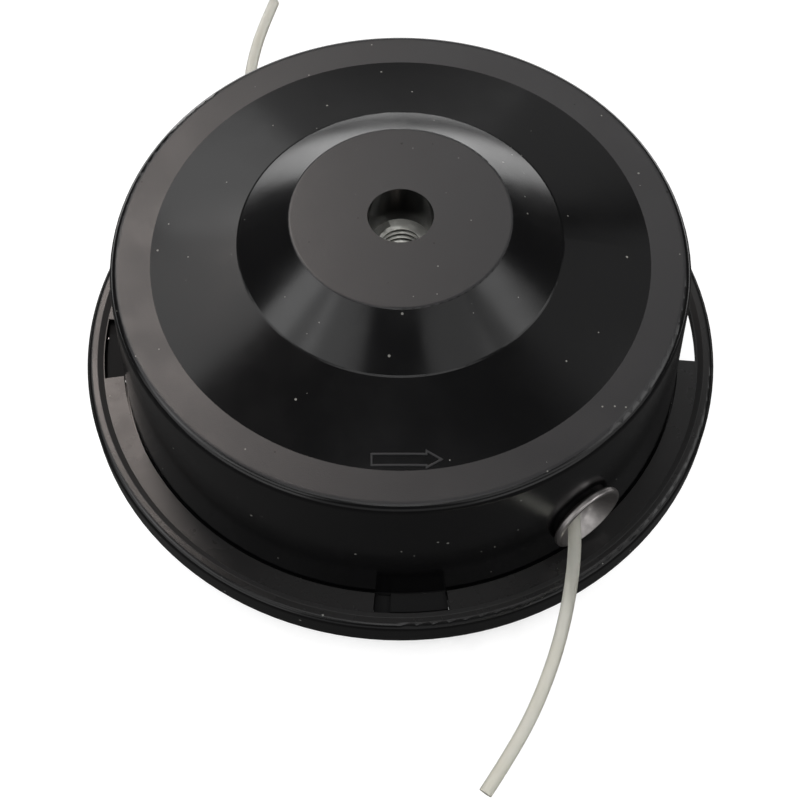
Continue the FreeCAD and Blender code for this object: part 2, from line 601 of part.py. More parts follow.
def eyelet(label, turn):
    """Flared metal eyelet, turned about its own axis and stood radially in the wall."""
    body = new_body(label)
    barrel = "eyelet_throat + eyelet_metal"
    throat_end = "eyelet_proud - eyelet_flare"
    back = "eyelet_proud - eyelet_flange"
    rolled = "eyelet_inner - eyelet_metal"
    revolve(body, [
        (rolled, "eyelet_throat"), (throat_end, "eyelet_throat"),
        ("eyelet_proud", "eyelet_lip - eyelet_edge"), ("eyelet_proud", "eyelet_lip"),
        (back, "eyelet_lip"), (back, "eyelet_seat"), (throat_end, barrel),
        ("eyelet_inner", barrel), ("eyelet_inner", barrel + " + eyelet_roll"),
        (rolled, barrel + " + eyelet_roll"),
    ], axis="H_Axis")
    round_rings(body, [("eyelet_throat", throat_end)], "eyelet_flare", along="x")
    round_rings(body, [("eyelet_throat", rolled)], "0.7 * eyelet_metal", along="x")
    round_rings(body, [("eyelet_lip", "eyelet_proud"), ("eyelet_lip", back)],
                "0.7 * eyelet_edge", along="x")
    stand(body, turn)


def eyelet_washer(label, turn):
    """Flat washer on the inside of the wall, held by the eyelet's rolled end."""
    body = new_body(label)
    inner = "eyelet_throat + eyelet_metal + seat"
    near = "clinch - washer_thickness"
    revolve(body, [
        (near, inner), ("clinch", inner), ("clinch", "washer_radius"), (near, "washer_radius"),
    ], axis="H_Axis")
    stand(body, turn)


def stand(body, turn):
    """Lift a radial piece to the line's height and turn it to its side of the head."""
    body.Placement = FreeCAD.Placement(
        FreeCAD.Vector(0, 0, 0), FreeCAD.Rotation(FreeCAD.Vector(0, 0, 1), 1.0))
    body.setExpression("Placement.Base.z", bound("line_height"))
    body.setExpression("Placement.Rotation.Angle", bound(turn))


def spring_seat():
    """Upper washer that keeps the spring's end off the plastic boss."""
    washer("spring_seat", "stem_radius + play", "seat_radius", "seat_bottom", "seat_top")


def thrust_washer():
    """Lower washer, pushed up and down the stem by the spool, which turns under it."""
    washer("thrust_washer", "stem_radius + play", "thrust_radius", "thrust_bottom",
           "thrust_top")


def compression_spring():
    """Round-wire spring with ground ends, between its seat and the thrust washer."""
    body = new_body("compression_spring")
    low = "thrust_top + seat"
    high = "seat_bottom - seat"
    rest = "spring_wire / 2 - spring_grind"
    sketch = sketch_on(body, "XZ_Plane")
    circle(sketch, "spring_radius", "%s + %s" % (low, rest), "spring_wire / 2")
    coil = body.newObject("PartDesign::AdditiveHelix", "Helix")
    coil.Profile = sketch
    coil.ReferenceAxis = (sketch, ["V_Axis"])
    coil.Mode = "height-turns-angle"
    climb = "%s - (%s) - 2 * (%s)" % (high, low, rest)
    coil.setExpression("Height", bound(climb))
    coil.setExpression("Turns", bound("(%s) / spring_pitch" % climb))
    doc.recompute()
    for level, away in ((high, True), (low, False)):
        sketch = sketch_on(body, "XY_Plane", lift=level)
        circle(sketch, "0", "0", "spring_radius + spring_wire")
        grind = body.newObject("PartDesign::Pocket", "Grind")
        grind.Profile = sketch
        grind.Reversed = away
        grind.setExpression("Length", bound("spring_wire"))
        doc.recompute()


def spool():
    """Moulded reel: drum, two flanges, inner shelf and indexing lugs on both sides."""
    body = new_body("spool")
    bore = "bush_outer + fit"
    foot_inner = "knob_flange - foot_width"
    revolve(body, [
        (bore, "ring_bottom"), ("hub_ring_radius", "ring_bottom"),
        ("hub_ring_radius", "shelf_bottom"), ("drum_inner", "shelf_bottom"),
        ("drum_inner", "spool_bottom"), (foot_inner, "spool_bottom"),
        (foot_inner, "knob_top + seat"), ("knob_flange", "knob_top + seat"),
        ("knob_flange", "spool_bottom"), ("spool_radius", "spool_bottom"),
        ("spool_radius", "chamber_bottom"), ("drum_radius", "chamber_bottom"),
        ("drum_radius", "chamber_top"), ("spool_radius", "chamber_top"),
        ("spool_radius", "spool_top"), ("drum_inner", "spool_top"),
        ("drum_inner", "shelf_top"), ("hub_ring_radius", "shelf_top"),
        ("hub_ring_radius", "ring_top"), (bore, "ring_top"),
    ])
    spool_lugs(body)
    low = "shelf_bottom - over_cut"
    high = "shelf_top + over_cut"
    near = "leg_inner - play"
    far = "leg_inner + leg_thickness + play"
    window = revolve(body, [(near, low), (far, low), (far, high), (near, high)],
                     kind="Groove", spread="leg_spread + leg_slack")
    repeat_round(body, window, "leg_count")
    sketch = sketch_on(body, "XY_Plane", lift="chamber_top - over_cut")
    circle(sketch, "spool_radius", "0", "notch_radius")
    repeat_round(body, pocket(body, sketch, "flange_thickness + 2 * over_cut"), "notch_count")


def spool_lugs(body):
    """Lugs under and over the flanges, which the two rows of teeth stop in turn."""
    sketch = block_sketch(body, "tooth_inner", "tooth_outer", "tooth_width", "lug_bottom")
    lower = pad(body, sketch, "spool_bottom + root_sink - lug_bottom")
    repeat_round(body, lower, "tooth_count")
    sketch = block_sketch(body, "tooth_inner", "tooth_outer", "tooth_width",
                          "spool_top - root_sink")
    repeat_round(body, pad(body, sketch, "tooth_height + root_sink"), "tooth_count")


def spool_bush():
    """Flanged plain bush in the spool, running on the insert's stem."""
    body = new_body("spool_bush")
    bore = "stem_radius + fit"
    low = "ring_bottom - seat"
    flange_low = low + " - bush_flange_height"
    revolve(body, [
        (bore, flange_low), ("bush_flange", flange_low), ("bush_flange", low),
        ("bush_outer", low), ("bush_outer", "ring_top"), (bore, "ring_top"),
    ])


def bump_knob():
    """Moulded knob that strikes the ground, snapped into the spool by its legs."""
    body = new_body("bump_knob")
    inner = "knob_radius - knob_wall"
    revolve(body, [
        ("0", "0"), ("knob_flat", "0"), ("knob_radius", "knob_shoulder"),
        ("knob_radius", "knob_rim"), ("knob_flange", "knob_rim"),
        ("knob_flange", "knob_top"), (inner, "knob_top"),
        (inner, "knob_shoulder + knob_wall / 2"), ("knob_flat - knob_wall / 2", "knob_wall"),
        ("0", "knob_wall"),
    ])
    round_rings(body, [("knob_radius", "knob_shoulder")], "knob_shoulder / 2")
    round_rings(body, [("knob_flat", "0")], "knob_shoulder / 2")
    outer = "leg_inner + leg_thickness"
    root = "knob_wall - root_sink"
    hook = "shelf_top + seat"
    tip = hook + " + leg_hook"
    leg = revolve(body, [
        ("leg_inner", root), (outer, root), (outer, hook), (outer + " + leg_barb", hook),
        (outer, tip), ("leg_inner", tip),
    ], spread="leg_spread")
    repeat_round(body, leg, "leg_count")
    sketch = sketch_on(body, "XY_Plane", lift="0 - over_cut")
    circle(sketch, "knob_radius + grip_radius / 2", "0", "grip_radius")
    groove = pocket(body, sketch, "over_cut + knob_rim - grip_stop")
    repeat_round(body, groove, "grip_count")


def plain_solid(label, shape):
    """A piece whose shape is worked out here from the sheet's sizes."""
    piece = doc.addObject("Part::Feature", "Solid_" + label)
    piece.Label = label
    piece.Shape = shape
    NODES.append(piece)
    return piece


def line_winding():
    """Both lines wound together on the drum, as one solid with its turns showing."""
    inner = value("drum_radius + seat")
    crest = value("line_offset - line_thickness / 2 - play")
    pitch = value("line_thickness")
    height = value("chamber_height - 2 * play")
    turns = int(height / pitch)
    low = value("chamber_bottom") + (value("chamber_height") - turns * pitch) / 2
    valley = crest - value("winding_groove")

    def spot(radius, level):
        return FreeCAD.Vector(radius, 0, level)

    edges = [Part.LineSegment(spot(inner, low), spot(valley, low)).toShape()]
    for turn in range(turns):
        level = low + turn * pitch
        arc = Part.Arc(spot(valley, level), spot(crest, level + pitch / 2),
                       spot(valley, level + pitch))
        edges.append(arc.toShape())
    top = low + turns * pitch
    edges.append(Part.LineSegment(spot(valley, top), spot(inner, top)).toShape())
    edges.append(Part.LineSegment(spot(inner, top), spot(inner, low)).toShape())
    face = Part.Face(Part.Wire(edges))
    solid = face.revolve(FreeCAD.Vector(0, 0, 0), FreeCAD.Vector(0, 0, 1), 360)
    plain_solid("line_winding", solid)


def free_line(label, route):
    """A round tube along straight runs joined by tangent arcs, as large as the runs allow."""
    radius = value("line_thickness / 2")
    spots = [FreeCAD.Vector(*point) for point in route]
    edges = []
    bends = []
    here = spots[0]
    for before, corner, after in zip(spots, spots[1:], spots[2:]):
        arrive = (corner - before).normalize()
        leave = (after - corner).normalize()
        half_turn = arrive.getAngle(leave) / 2
        cut = BEND_SHARE * min((corner - before).Length, (after - corner).Length)
        bend = cut / math.tan(half_turn)
        start = corner - arrive * cut
        end = corner + leave * cut
        inward = (leave - arrive).normalize()
        centre = corner + inward * (bend / math.cos(half_turn))
        middle = centre - inward * bend
        edges.append(Part.LineSegment(here, start).toShape())
        edges.append(Part.Arc(start, middle, end).toShape())
        bends.append(bend)
        here = end
    edges.append(Part.LineSegment(here, spots[-1]).toShape())
    path = Part.Wire(edges)
    first = (spots[1] - spots[0]).normalize()
    ring = Part.Wire(Part.makeCircle(radius, spots[0], first))
    tube = path.makePipeShell([ring], True, False)
    print("%s: bends %s mm, length %.1f mm, volume ratio %.4f" % (
        label, [round(bend) for bend in bends], path.Length,
        tube.Volume / (math.pi * radius ** 2 * path.Length)))
    plain_solid(label, tube)


def check_document():
    """Stop before anything is written if any object failed or any piece is unsound."""
    doc.recompute()
    for item in doc.Objects:
        if "Invalid" in item.State or "Error" in item.State:
            raise RuntimeError("%s failed: %s" % (item.Label, item.State))
    for node in NODES:
        if node.Shape.isNull() or not node.Shape.isValid():
            raise RuntimeError(node.Label + " has no valid shape")


def write_parts():
    os.makedirs("parts", exist_ok=True)
    for node in NODES:
        node.Shape.exportStep("parts/%s.step" % node.Label)
        print("%-24s %2d solid %9.1f mm3" % (
            node.Label, len(node.Shape.Solids), node.Shape.Volume))


fill_sheet()
housing()
arbor_insert()
insert_retaining_ring()
eyelet("eyelet_front", "eyelet_turn - 90")
eyelet("eyelet_rear", "eyelet_turn + 90")
eyelet_washer("eyelet_washer_front", "eyelet_turn - 90")
eyelet_washer("eyelet_washer_rear", "eyelet_turn + 90")
spring_seat()
compression_spring()
thrust_washer()
spool()
spool_bush()
line_winding()
bump_knob()
cover()
free_line("line_front", FRONT_ROUTE)
free_line("line_rear", REAR_ROUTE)
check_document()
write_parts()
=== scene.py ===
import json
import math

import bmesh
import bpy
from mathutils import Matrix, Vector

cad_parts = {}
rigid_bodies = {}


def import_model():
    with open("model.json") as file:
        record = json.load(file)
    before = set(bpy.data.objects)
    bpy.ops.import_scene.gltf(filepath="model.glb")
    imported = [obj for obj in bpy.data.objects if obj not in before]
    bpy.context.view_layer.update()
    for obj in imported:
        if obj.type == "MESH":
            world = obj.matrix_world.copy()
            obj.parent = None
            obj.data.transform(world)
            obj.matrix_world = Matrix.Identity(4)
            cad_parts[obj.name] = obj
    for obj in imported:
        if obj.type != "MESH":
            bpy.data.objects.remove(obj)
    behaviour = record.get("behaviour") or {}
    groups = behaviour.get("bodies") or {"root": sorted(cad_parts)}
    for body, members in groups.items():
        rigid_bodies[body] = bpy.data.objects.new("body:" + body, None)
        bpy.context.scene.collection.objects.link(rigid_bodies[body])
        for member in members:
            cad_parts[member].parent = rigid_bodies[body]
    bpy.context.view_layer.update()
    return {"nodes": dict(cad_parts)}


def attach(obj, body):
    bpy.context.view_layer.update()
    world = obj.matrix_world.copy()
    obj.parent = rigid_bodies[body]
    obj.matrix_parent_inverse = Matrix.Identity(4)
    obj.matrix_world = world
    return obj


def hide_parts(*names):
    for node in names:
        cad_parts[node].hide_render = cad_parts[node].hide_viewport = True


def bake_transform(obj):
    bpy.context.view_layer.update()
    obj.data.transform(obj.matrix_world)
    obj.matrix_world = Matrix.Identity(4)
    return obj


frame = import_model()

nodes = frame["nodes"]
scene = bpy.context.scene
scene.view_settings.view_transform = "Standard"
MM = 0.001


# The housing, a black nylon moulding with a stepped top. Its two flat rings come out of the
# mould with a fine matte grain, and its cones and its wall are polished. Dust clings to it.
HOUSING_GLOSS = (0.003, 0.003, 0.0034)
HOUSING_MATTE = (0.0345, 0.0345, 0.0365)
HOUSING_POLISHED = 0.17
HOUSING_GRAINED = 0.34
MOULD_MARKS = {"Grain": 0.22, "Cloud": 13.0}
CLOUD_EDGES = (0.3, 0.7)
POLISHED_GRAIN = 0.08
GRAIN_RELIEF = (0.35, 0.05 * MM)
PITS = {"Spacing": 3.1, "Size": 0.30, "Share": 0.3}
PIT_COLOUR = (0.004, 0.004, 0.004)
SPECKS = {"Spacing": 2.3, "Size": 0.28, "Share": 0.22}
DUST_COLOUR = (0.30, 0.30, 0.28)
DULL_ROUGHNESS = 0.82

# Where the grain and the rough latches begin and end, as radii and heights in millimetres.
HUB_TOP = (65.7, 65.85)
SHOULDER_INSIDE = (51.5, 51.7)
SHOULDER_TOP = (53.85, 53.98)
LATCH_INSIDE = (61.5, 61.6)
LATCH_TOP = (19.4, 20.0)


def new_group(name, inputs, outputs):
    """A shader node group with float sockets, and its input and output nodes."""
    group = bpy.data.node_groups.new(name, "ShaderNodeTree")
    for label, value in inputs.items():
        socket = group.interface.new_socket(label, in_out="INPUT", socket_type="NodeSocketFloat")
        socket.default_value = value
    for label in outputs:
        group.interface.new_socket(label, in_out="OUTPUT", socket_type="NodeSocketFloat")
    return group, group.nodes.new("NodeGroupInput"), group.nodes.new("NodeGroupOutput")


def math_node(tree, operation, first, second):
    """A Math node whose two inputs are sockets or numbers."""
    node = tree.nodes.new("ShaderNodeMath")
    node.operation = operation
    for index, given in enumerate((first, second)):
        if isinstance(given, (int, float)):
            node.inputs[index].default_value = given
        else:
            tree.links.new(given, node.inputs[index])
    return node.outputs[0]


def smooth_step(tree, given, edges, start=0.0, end=1.0):
    """A smooth step of a socket from one of its values to another."""
    node = tree.nodes.new("ShaderNodeMapRange")
    node.interpolation_type = "SMOOTHSTEP"
    node.inputs["From Min"].default_value = edges[0]
    node.inputs["From Max"].default_value = edges[1]
    node.inputs["To Min"].default_value = start
    node.inputs["To Max"].default_value = end
    tree.links.new(given, node.inputs["Value"])
    return node.outputs["Result"]


def noise(tree, scale, detail, roughness):
    """Noise on object coordinates, with a socket that gives its waves per metre."""
    place = tree.nodes.new("ShaderNodeTexCoord")
    node = tree.nodes.new("ShaderNodeTexNoise")
    tree.links.new(place.outputs["Object"], node.inputs["Vector"])
    tree.links.new(scale, node.inputs["Scale"])
    node.inputs["Detail"].default_value = detail
    node.inputs["Roughness"].default_value = roughness
    return node.outputs["Fac"]


def round_place_group():
    """Distance from the shaft axis and height, both in millimetres, of a point on a piece."""
    group, _, end = new_group("round_place", {}, ["Radius", "Height"])
    place = group.nodes.new("ShaderNodeTexCoord")
    split = group.nodes.new("ShaderNodeSeparateXYZ")
    group.links.new(place.outputs["Object"], split.inputs[0])
    flat = group.nodes.new("ShaderNodeCombineXYZ")
    group.links.new(split.outputs["X"], flat.inputs["X"])
    group.links.new(split.outputs["Y"], flat.inputs["Y"])
    length = group.nodes.new("ShaderNodeVectorMath")
    length.operation = "LENGTH"
    group.links.new(flat.outputs[0], length.inputs[0])
    group.links.new(math_node(group, "DIVIDE", length.outputs["Value"], MM), end.inputs[0])
    group.links.new(math_node(group, "DIVIDE", split.outputs["Z"], MM), end.inputs[1])
    return group


def dust_group():
    """Mask of small round marks, such as the specks of dust that lie on a surface."""
    inputs = {"Spacing": 5.0, "Size": 0.35, "Share": 0.4}
    group, start, end = new_group("dust", inputs, ["Mask"])
    place = group.nodes.new("ShaderNodeTexCoord")
    cells = group.nodes.new("ShaderNodeTexVoronoi")
    group.links.new(place.outputs["Object"], cells.inputs["Vector"])
    per_metre = math_node(group, "DIVIDE", 1.0 / MM, start.outputs["Spacing"])
    group.links.new(per_metre, cells.inputs["Scale"])
    split = group.nodes.new("ShaderNodeSeparateColor")
    group.links.new(cells.outputs["Color"], split.inputs[0])
    kept = math_node(group, "LESS_THAN", split.outputs["Red"], start.outputs["Share"])
    reach = math_node(group, "MULTIPLY", split.outputs["Green"], start.outputs["Size"])
    reach = math_node(group, "DIVIDE", reach, start.outputs["Spacing"])
    inside = math_node(group, "LESS_THAN", cells.outputs["Distance"], reach)
    group.links.new(math_node(group, "MULTIPLY", inside, kept), end.inputs["Mask"])
    return group


def grain_group():
    """Height of a moulded grain, and the cloudy unevenness of a handled surface."""
    inputs = {"Grain": 0.25, "Cloud": 14.0}
    group, start, end = new_group("grain", inputs, ["Height", "Cloudiness"])
    fine = math_node(group, "DIVIDE", 1.0 / MM, start.outputs["Grain"])
    group.links.new(noise(group, fine, 2.0, 0.5), end.inputs["Height"])
    wide = math_node(group, "DIVIDE", 1.0 / MM, start.outputs["Cloud"])
    group.links.new(noise(group, wide, 5.0, 0.6), end.inputs["Cloudiness"])
    return group


ROUND_PLACE = round_place_group()
DUST = dust_group()
GRAIN = grain_group()


def place_group(tree, group, **values):
    """A group node with its own values."""
    node = tree.nodes.new("ShaderNodeGroup")
    node.node_tree = group
    for label, value in values.items():
        node.inputs[label].default_value = value
    return node


def new_material(name):
    """A material with an empty node tree but for its output and shader."""
    material = bpy.data.materials.new(name)
    material.use_nodes = True
    tree = material.node_tree
    tree.nodes.clear()
    shader = tree.nodes.new("ShaderNodeBsdfPrincipled")
    output = tree.nodes.new("ShaderNodeOutputMaterial")
    tree.links.new(shader.outputs[0], output.inputs["Surface"])
    return material, tree, shader


def blend_colour(tree, share, first, second):
    """Mix two colours, given as tuples or sockets, by a socket's share."""
    node = tree.nodes.new("ShaderNodeMix")
    node.data_type = "RGBA"
    tree.links.new(share, node.inputs["Factor"])
    for label, given in (("A", first), ("B", second)):
        socket = [s for s in node.inputs if s.name == label and s.type == "RGBA"][0]
        if isinstance(given, tuple):
            socket.default_value = (*given, 1.0)
        else:
            tree.links.new(given, socket)
    return [s for s in node.outputs if s.type == "RGBA"][0]


def blend_value(tree, share, first, second):
    """Mix two numbers or sockets by a socket's share."""
    node = tree.nodes.new("ShaderNodeMix")
    node.data_type = "FLOAT"
    tree.links.new(share, node.inputs["Factor"])
    for index, given in ((2, first), (3, second)):
        if isinstance(given, (int, float)):
            node.inputs[index].default_value = given
        else:
            tree.links.new(given, node.inputs[index])
    return node.outputs[0]


def bump(tree, shader, height, strength, distance):
    """Raise a surface by a height socket, for its shading alone."""
    node = tree.nodes.new("ShaderNodeBump")
    node.inputs["Strength"].default_value = strength
    node.inputs["Distance"].default_value = distance
    tree.links.new(height, node.inputs["Height"])
    tree.links.new(node.outputs[0], shader.inputs["Normal"])


def moulded_plastic(name, colour, polished, zone=None, matte=None, grained=None, dull=None,
                    painted_sheen=None):
    """Moulded plastic, perhaps grained in one zone, and rough and perhaps painted paler in
    another as a painted sheen.
    """
    material, tree, shader = new_material(name)
    marks = place_group(tree, GRAIN, **MOULD_MARKS)
    cloud = smooth_step(tree, marks.outputs["Cloudiness"], CLOUD_EDGES)
    finish = blend_value(tree, cloud, polished - 0.02, polished + 0.03)
    depth = POLISHED_GRAIN
    if zone is not None:
        mask = zone(tree)
        colour = blend_colour(tree, mask, colour, matte)
        coarse = blend_value(tree, cloud, grained - 0.04, grained + 0.04)
        finish = blend_value(tree, mask, finish, coarse)
        depth = blend_value(tree, mask, POLISHED_GRAIN, 1.0)
    if dull is not None:
        dull_and_sheen_mask = dull(tree)
        finish = blend_value(tree, dull_and_sheen_mask, finish, DULL_ROUGHNESS)
        if painted_sheen is not None:
            # The paler colour of the rough zone is painted sheen, in place of the light it would
            # mirror.
            colour = blend_colour(tree, dull_and_sheen_mask, colour, painted_sheen)
    pits = place_group(tree, DUST, **PITS)
    colour = blend_colour(tree, pits.outputs["Mask"], colour, PIT_COLOUR)
    specks = place_group(tree, DUST, **SPECKS)
    colour = blend_colour(tree, specks.outputs["Mask"], colour, DUST_COLOUR)
    tree.links.new(colour, shader.inputs["Base Color"])
    tree.links.new(finish, shader.inputs["Roughness"])
    height = math_node(tree, "MULTIPLY", marks.outputs["Height"], depth)
    bump(tree, shader, height, *GRAIN_RELIEF)
    return material


def housing_zone(tree):
    """The flat top and the shoulder, which are grained."""
    place = place_group(tree, ROUND_PLACE)
    top = smooth_step(tree, place.outputs["Height"], HUB_TOP)
    ring = smooth_step(tree, place.outputs["Radius"], SHOULDER_INSIDE)
    level = smooth_step(tree, place.outputs["Height"], SHOULDER_TOP)
    return math_node(tree, "MAXIMUM", top, math_node(tree, "MULTIPLY", ring, level))


def latch_zone(tree):
    """The latches outside the foot of the wall, which are as rough as they were cut."""
    place = place_group(tree, ROUND_PLACE)
    outside = smooth_step(tree, place.outputs["Radius"], LATCH_INSIDE)
    low = smooth_step(tree, place.outputs["Height"], LATCH_TOP, 1.0, 0.0)
    return math_node(tree, "MULTIPLY", outside, low)


def finish_node(node, material):
    """Give a carried-over piece its material."""
    piece = nodes[node]
    piece.data.materials.clear()
    piece.data.materials.append(material)


housing_nylon = moulded_plastic("housing_nylon", HOUSING_GLOSS, HOUSING_POLISHED, housing_zone,
                                HOUSING_MATTE, HOUSING_GRAINED, latch_zone)
finish_node("housing", housing_nylon)


# The arrow on the front of the shallow cone shows which way the head turns. It is moulded in
# one with the housing as a thin raised outline, hollow in the middle.
ARROW_CORNERS = [
    (-5.7, -48.25), (-5.7, -50.75), (4.8, -50.75), (4.8, -51.3), (8.2, -49.4), (4.8, -47.5),
    (4.8, -48.25),
]
ARROW_RIDGE = 0.36 * MM
ARROW_RAISED = 0.28 * MM
ARROW_SUNK = 0.1 * MM
ARROW_CUTS = 7
ARROW_EDGE = 0.1 * MM
ARROW_SMOOTH = 40
ARROW_FINISH = 0.4
CONE_FOOT = 51.6 * MM
CONE_FOOT_HEIGHT = 54.0 * MM
CONE_SLOPE = 4.4 / 18.3


def edit_piece(name):
    """Name the new primitive and open it for editing."""
    piece = bpy.context.object
    piece.name = name
    bpy.ops.object.mode_set(mode="EDIT")
    return piece, bmesh.from_edit_mesh(piece.data)


def close_piece():
    """Turn the edited piece's faces outwards, leave editing and put its place into its mesh."""
    bpy.ops.mesh.select_all(action="SELECT")
    bpy.ops.mesh.normals_make_consistent(inside=False)
    bpy.ops.object.mode_set(mode="OBJECT")
    bpy.ops.object.transform_apply(location=True, rotation=True, scale=True)


def soften_edges(piece, width, smooth):
    """Round a piece's edges, and shade it smooth across those that turn less than an angle."""
    edge = piece.modifiers.new("soft_edge", "BEVEL")
    edge.width = width
    edge.segments = 2
    edge.limit_method = "ANGLE"
    bpy.ops.object.modifier_apply(modifier="soft_edge")
    bpy.ops.object.shade_smooth_by_angle(angle=math.radians(smooth))


def cone_height(x, y):
    """Height of the shallow cone's face over a point."""
    return CONE_FOOT_HEIGHT + (CONE_FOOT - math.hypot(x, y)) * CONE_SLOPE


bpy.ops.object.select_all(action="DESELECT")
bpy.ops.mesh.primitive_circle_add(vertices=len(ARROW_CORNERS), radius=5 * MM, fill_type="NGON")
arrow, shape = edit_piece("turning_arrow")
shape.verts.ensure_lookup_table()
for corner, (x, y) in zip(shape.verts, ARROW_CORNERS):
    corner.co = (x * MM, y * MM, 0.0)
bmesh.update_edit_mesh(arrow.data)
bpy.ops.mesh.inset(thickness=ARROW_RIDGE, depth=0.0)
bpy.ops.mesh.delete(type="ONLY_FACE")
bpy.ops.mesh.select_all(action="SELECT")
bpy.ops.mesh.subdivide(number_cuts=ARROW_CUTS)
shape = bmesh.from_edit_mesh(arrow.data)
for corner in shape.verts:
    corner.co.z = cone_height(corner.co.x, corner.co.y) - ARROW_SUNK
bmesh.update_edit_mesh(arrow.data)
bpy.ops.mesh.select_all(action="SELECT")
bpy.ops.mesh.extrude_region_move(
    TRANSFORM_OT_translate={"value": (0.0, 0.0, ARROW_RAISED + ARROW_SUNK)})
close_piece()
soften_edges(arrow, ARROW_EDGE, ARROW_SMOOTH)
arrow.data.materials.append(moulded_plastic("arrow_nylon", HOUSING_MATTE, ARROW_FINISH))
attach(arrow, "head")


# The low web beside each of the three latches. It is moulded in one with the housing and fills
# the rest of the latch's slot.
WEB_AZIMUTHS = (176.77, 266.77, 86.77)
WEB_SPREAD = 3.12
WEB_RADII = (61.75 * MM, 66.1 * MM)
WEB_HEIGHTS = (14.9 * MM, 18.7 * MM)
WEB_SINK = 8.0 * MM
WEB_EDGE = 0.2 * MM
WEB_SMOOTH = 35
WEB_CUTS = 3


def latch_web(name, azimuth):
    """A block bent to the rim's curve, with soft edges and a top that sinks in the middle."""
    bpy.ops.object.select_all(action="DESELECT")
    bpy.ops.mesh.primitive_cube_add(size=1.0)
    piece, _ = edit_piece(name)
    bpy.ops.mesh.subdivide(number_cuts=WEB_CUTS)
    shape = bmesh.from_edit_mesh(piece.data)
    for corner in shape.verts:
        along, across, up = corner.co
        sink = max(0.0, up) * (0.25 - along * along) * (0.25 - across * across) * WEB_SINK
        turn = math.radians(azimuth + along * WEB_SPREAD)
        radius = sum(WEB_RADII) / 2 + across * (WEB_RADII[1] - WEB_RADII[0])
        height = sum(WEB_HEIGHTS) / 2 + up * (WEB_HEIGHTS[1] - WEB_HEIGHTS[0])
        corner.co = (radius * math.cos(turn), radius * math.sin(turn), height - sink)
    bmesh.update_edit_mesh(piece.data)
    close_piece()
    soften_edges(piece, WEB_EDGE, WEB_SMOOTH)
    piece.data.materials.append(housing_nylon)
    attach(piece, "head")


for number, azimuth in enumerate(WEB_AZIMUTHS, start=1):
    latch_web("latch_web_%d" % number, azimuth)


# The arbor insert, turned from steel with a hexagon and a stem, and tapped with a left-hand
# thread. It is pushed into the hub from below, and the gearbox shaft screws into it.
INSERT_COLOUR = (0.80, 0.80, 0.745)
INSERT_SMOOTH = 32
METAL_CLOUD = 3.0
METAL_RELIEF = (0.2, 0.02 * MM)
TARNISH = 0.72
THREAD_PITCH = 1.5 * MM
THREAD_PROFILE = [(4.33, 0.0), (4.33, 0.375), (5.0, 0.762), (5.0, 1.113), (4.33, 1.5)]
THREAD_START = 13.5 * MM
THREAD_TURNS = 29
THREAD_STEPS = 48
THREAD_ENDS = (15.7 * MM, 55.6 * MM)
THREAD_MOUTH = 5.1 * MM
PLAIN_BORE_REACH = 5.32 * MM
MOUTH_REACH = 5.35 * MM
MOUTH_FOOT = 55.0 * MM
MOUTH_TOP = 56.5 * MM
FOOT_JOINT = (15.0 * MM, 16.0 * MM)
INSERT_GAP = 0.01 * MM


def turned_metal(name, colour, roughness, grain):
    """Bright metal with fine marks of the tool."""
    material, tree, shader = new_material(name)
    marks = place_group(tree, GRAIN, Grain=grain, Cloud=METAL_CLOUD)
    cloud = smooth_step(tree, marks.outputs["Cloudiness"], CLOUD_EDGES)
    dull = tuple(part * TARNISH for part in colour)
    tree.links.new(blend_colour(tree, cloud, colour, dull), shader.inputs["Base Color"])
    shader.inputs["Metallic"].default_value = 1.0
    tree.links.new(blend_value(tree, cloud, roughness - 0.05, roughness + 0.08),
                   shader.inputs["Roughness"])
    bump(tree, shader, marks.outputs["Height"], *METAL_RELIEF)
    return material


def merged_copy(node, name, gap):
    """A copy of a carried-over piece, alone selected, with the corners of its faces merged."""
    bpy.ops.object.select_all(action="DESELECT")
    piece = nodes[node].copy()
    piece.data = piece.data.copy()
    piece.name = name
    scene.collection.objects.link(piece)
    piece.select_set(True)
    bpy.context.view_layer.objects.active = piece
    bpy.ops.object.parent_clear(type="CLEAR_KEEP_TRANSFORM")
    bpy.ops.object.mode_set(mode="EDIT")
    bpy.ops.mesh.select_all(action="SELECT")
    bpy.ops.mesh.remove_doubles(threshold=gap)
    bpy.ops.object.mode_set(mode="OBJECT")
    return piece


bpy.ops.object.select_all(action="DESELECT")
bpy.ops.mesh.primitive_circle_add(vertices=len(THREAD_PROFILE), radius=5 * MM)
insert, shape = edit_piece("tapped_insert")
shape.verts.ensure_lookup_table()
corners = list(shape.verts)
for corner, (radius, height) in zip(corners, THREAD_PROFILE):
    corner.co = (radius * MM, 0.0, THREAD_START + height * MM)
for line in shape.edges:
    line.select_set(corners[0] in line.verts and corners[-1] in line.verts)
bmesh.update_edit_mesh(insert.data)
bpy.ops.mesh.delete(type="EDGE")
bpy.ops.object.mode_set(mode="OBJECT")
helix = insert.modifiers.new("helix", "SCREW")
helix.angle = -2 * math.pi
helix.screw_offset = THREAD_PITCH
helix.iterations = THREAD_TURNS
helix.steps = THREAD_STEPS
helix.render_steps = THREAD_STEPS
helix.use_merge_vertices = True
helix.merge_threshold = 0.002 * MM
bpy.ops.object.modifier_apply(modifier="helix")
bpy.ops.object.mode_set(mode="EDIT")
bpy.ops.mesh.select_all(action="SELECT")
bpy.ops.mesh.remove_doubles(threshold=INSERT_GAP)
for height, way in zip(THREAD_ENDS, (-1.0, 1.0)):
    bpy.ops.mesh.select_all(action="SELECT")
    bpy.ops.mesh.bisect(plane_co=(0.0, 0.0, height), plane_no=(0.0, 0.0, way),
                        clear_outer=True)
bpy.ops.object.mode_set(mode="OBJECT")
bpy.ops.object.transform_apply(location=True, rotation=True, scale=True)

